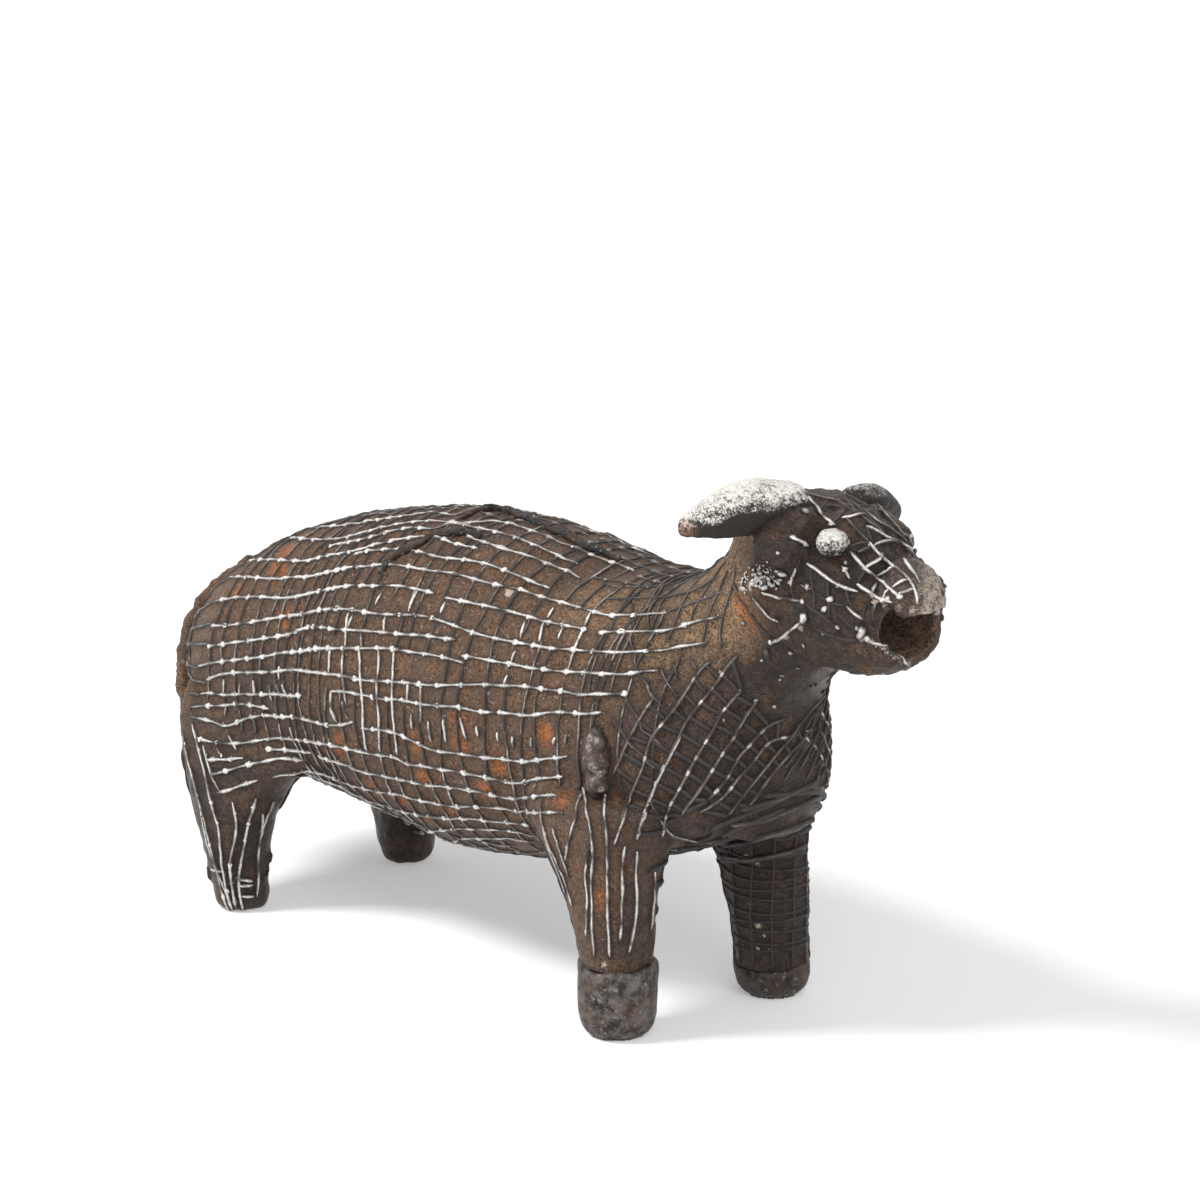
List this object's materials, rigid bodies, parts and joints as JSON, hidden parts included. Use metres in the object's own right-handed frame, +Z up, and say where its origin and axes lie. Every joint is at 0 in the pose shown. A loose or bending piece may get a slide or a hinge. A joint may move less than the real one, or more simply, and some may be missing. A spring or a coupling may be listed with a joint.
{
  "type": "bronze bull figurine",
  "caption": "Standing cast bronze bull figurine wrapped in a raised net of threads, with spread leaf-shaped ears and an open mouth, for display on a flat surface.",
  "frame": {"origin": "middle of the whole figurine on the ground, under the belly", "axes": "+X towards the nose, +Y to the bull's left, +Z up"},
  "size_m": [0.1836, 0.0518, 0.1044],
  "materials": {
    "bronze": "dark brown patina, worn on the raised threads",
    "dark_bronze": "smooth near-black patina",
    "worn_bronze": "pale silvery metal, rubbed bright",
    "fired_clay": "rough matte",
    "iron": "rusty matte"
  },
  "bodies": {
    "root": {"body_shell": "bronze", "head": "bronze", "lower_jaw": "bronze", "neck": "bronze", "right_foreleg": "bronze", "left_foreleg": "bronze", "right_hind_leg": "bronze", "left_hind_leg": "dark_bronze", "right_forefoot_cap": "dark_bronze", "left_forefoot_cap": "dark_bronze", "tail": "bronze", "right_shoulder_lug": "bronze", "flank_seam": "dark_bronze", "back_seam": "dark_bronze", "nose_pad": "worn_bronze", "right_ear": "worn_bronze", "left_ear": "worn_bronze", "right_eye": "worn_bronze", "left_eye": "worn_bronze", "clay_core": "fired_clay", "core_pin_right_front": "iron", "core_pin_right_rear": "iron", "core_pin_left_front": "iron", "core_pin_left_rear": "iron", "core_pin_belly": "iron"}
  },
  "joints": []
}
